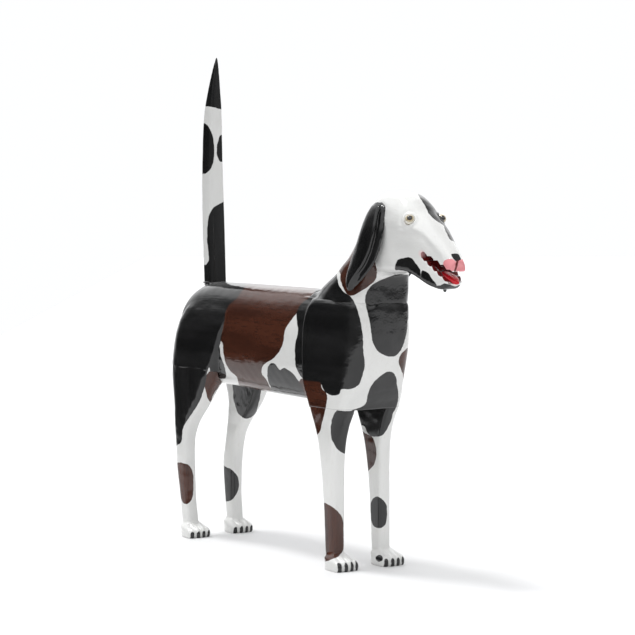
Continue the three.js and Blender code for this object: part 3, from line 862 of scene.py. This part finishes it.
def carve_ear(name):
    ear = carve(name, 1.2)
    x, y, z = ear.points.T
    top = z.max()
    ear.even(4)
    ear.soften(8, 0.8)
    heights = (496, 512, 536, 562, 590, 614, 630)
    inner = np.interp(z, heights, (63, 60, 55.5, 51.5, 48, 43.5, 38.5))
    thick = np.interp(z, heights, (8, 13, 15.5, 16.5, 17, 15.5, 14))
    # the hollow runs down the middle of the front face
    groove = bell(np.abs(y) - inner - 0.5 * thick, 0.25 * thick) * (ear.normals()[:, 0] > 0.1)
    x -= 4.5 * groove * smoothstep(500, 530, z) * smoothstep(top - 6, top - 22, z)
    ear.even(3)
    hewn(ear, 0.15, 31)
    everywhere = np.full(len(ear.points), 20.0)
    nowhere = -everywhere
    place(name, ear, "black_wood", ALONG_LEG, seam=everywhere, black=everywhere, brown=nowhere,
          pink=nowhere, red=nowhere, blush=nowhere, up=nowhere)


def carve_tail():
    tail = carve("tail", 1.4)
    tail.even(5)
    hewn(tail, 0.2, 41)
    place("tail", tail, "black_wood", ALONG_LEG, seam=np.full(len(tail.points), 20.0), **coat("tail", tail))


def carve_tongue(material):
    tongue = carve("tongue", 0.9)
    tongue.even(4)
    tongue.soften(8, 0.8)
    x, y, z = tongue.points.T
    top = tongue.normals()[:, 2] > 0
    tongue.push(-0.4 * bell(y, 1.6) * smoothstep(425, 440, x) * smoothstep(466, 458, x) * top)
    # deep is how far back into the mouth a point lies, and drives the painted shade there
    place("tongue", tongue, "red_wood", material, deep=438 - x)


def glass_eye(name, side, gaze, material):
    """A glass ball with a swelling over the pupil, which looks along `gaze`."""
    gaze = unit(np.array(gaze))
    right = unit(np.cross(gaze, [0, 0, 1.0]))
    top = np.cross(right, gaze)
    rings, around = 48, 64
    middle = EYE * [1, side, 1]
    points, angles = [middle + gaze * (EYE_RADIUS + EYE_SWELLING)], [0.0]
    for i in range(1, rings):
        angle = math.pi * i / rings
        swelling = EYE_SWELLING * math.exp(-((angle / 0.50) ** 4))
        groove = 0.16 * math.exp(-(((angle - 0.60) / 0.07) ** 2))
        for k in range(around):
            roll = 2 * math.pi * k / around
            way = gaze * math.cos(angle) + (right * math.cos(roll) + top * math.sin(roll)) * math.sin(angle)
            points.append(middle + way * (EYE_RADIUS + swelling - groove))
            angles.append(math.degrees(angle))
    points.append(middle - gaze * EYE_RADIUS)
    angles.append(180.0)
    tris = []
    last = len(points) - 1
    for k in range(around):
        n = (k + 1) % around
        tris += [(1 + n, 1 + k, 0), (last - around + k, last - around + n, last)]
        for i in range(rings - 2):
            a, b = 1 + i * around + k, 1 + i * around + n
            tris += [(b + around, a + around, a), (b, b + around, a)]
    ball = Carving(mesh_of(name, np.array(points), np.array(tris)))
    place(name, ball, "glass_eye", material, gaze=np.array(angles))


# Floor, light and camera

LEVEL = unit(FORWARD * [1, 1, 0])
# the corners of the paper, as the camera sees it: how far to the right of the figure and behind it
SHEET = [(-3600, -6000), (7800, -6000), (7800, 14000), (-1300, 14000), (-1300, -200)]
# parts of the studio round a direction: the cosines where they begin and are whole, and their strength
BRIGHT_WALL = ((-0.81, 0.586, 0.0), 0.60, 0.93, 0.84)  # behind the figure
PALE_WALL = ((0.81, 0.586, 0.03), 0.90, 0.99, 0.12)  # to the right
# at the left, and high at the right
BLACK_FLAGS = [((-0.77, -0.63, 0.05), 0.80, 0.96, 0.85), ((0.25, 0.65, 0.72), 0.86, 0.97, 0.75)]
SKY = (0.06, 0.52, 0.17, 1.34)  # the heights between which it gets stronger, and from and to what
KEY_WAY = (0.22, 0.15, -1.0)
KEY_ENERGY = 1.38
KEY_ANGLE = 11  # degrees


def lay_floor():
    corners = np.array([RIGHT * right + LEVEL * behind for right, behind in SHEET]) + SHIFT
    mesh = mesh_of("studio_floor", corners, np.array([range(len(SHEET))]))
    floor = bpy.data.objects.new("studio_floor", mesh)
    floor.data.materials.append(studio_white())
    bpy.context.scene.collection.objects.link(floor)


def light_studio(scene):
    """Soft light from all round, brightest above and behind, with two black flags and a soft key light."""
    scene.world = bpy.data.worlds.new("studio")
    scene.world.use_nodes = True
    tree = scene.world.node_tree
    tree.nodes.clear()
    way = add(tree, "TexCoord").outputs["Generated"]
    height = add(tree, "SeparateXYZ", {0: way}).outputs["Z"]

    def toward(direction, low, high, strength):
        cosine = add(tree, "VectorMath", {0: way, 1: direction}, operation="DOT_PRODUCT").outputs["Value"]
        return ramp(tree, cosine, low, high, 0.0, strength)

    bright = calc(tree, "ADD", ramp(tree, height, *SKY), toward(*BRIGHT_WALL))
    flag = calc(tree, "ADD", *(toward(*part) for part in BLACK_FLAGS))
    bright = calc(tree, "MULTIPLY", bright, calc(tree, "SUBTRACT", 1.0, flag))
    bright = calc(tree, "ADD", bright, toward(*PALE_WALL))
    light = add(tree, "Background", {"Color": (0.985, 0.99, 1.0, 1), "Strength": bright})
    tree.links.new(light.outputs[0], add(tree, "OutputWorld").inputs[0])

    key = bpy.data.lights.new("key", "SUN")
    key.angle = math.radians(KEY_ANGLE)
    key.energy = KEY_ENERGY
    holder = bpy.data.objects.new("key", key)
    holder.rotation_mode = "QUATERNION"
    holder.rotation_quaternion = Vector(KEY_WAY).to_track_quat("-Z", "Y")
    scene.collection.objects.link(holder)


def set_camera(scene):
    view = bpy.data.cameras.new("photo_camera")
    view.sensor_width = SENSOR
    view.lens = FOCUS * SENSOR / PICTURE
    view.clip_start = 0.1
    view.clip_end = 100
    camera = bpy.data.objects.new("photo_camera", view)
    camera.location = (CAMERA - SHIFT) / 1000
    camera.rotation_mode = "QUATERNION"
    camera.rotation_quaternion = Vector(FORWARD).to_track_quat("-Z", "Y")
    scene.collection.objects.link(camera)
    scene.camera = camera


carve_torso()
carve_head()
for side, word in ((1, "left"), (-1, "right")):
    carve_leg(f"leg_front_{word}", side, SHOULDER_JOINT - GAP)
    carve_leg(f"leg_hind_{word}", side, HIP_JOINT)
    carve_ear(f"ear_{word}")
carve_tail()
carve_tongue(tongue_red())
glass = eye_glass()
glass_eye("eye_left", 1, (0.92, -0.24, 0.27), glass)
glass_eye("eye_right", -1, (0.707, -0.56, 0.43), glass)
lay_floor()
bpy.context.scene.view_settings.view_transform = "Standard"
light_studio(bpy.context.scene)
set_camera(bpy.context.scene)
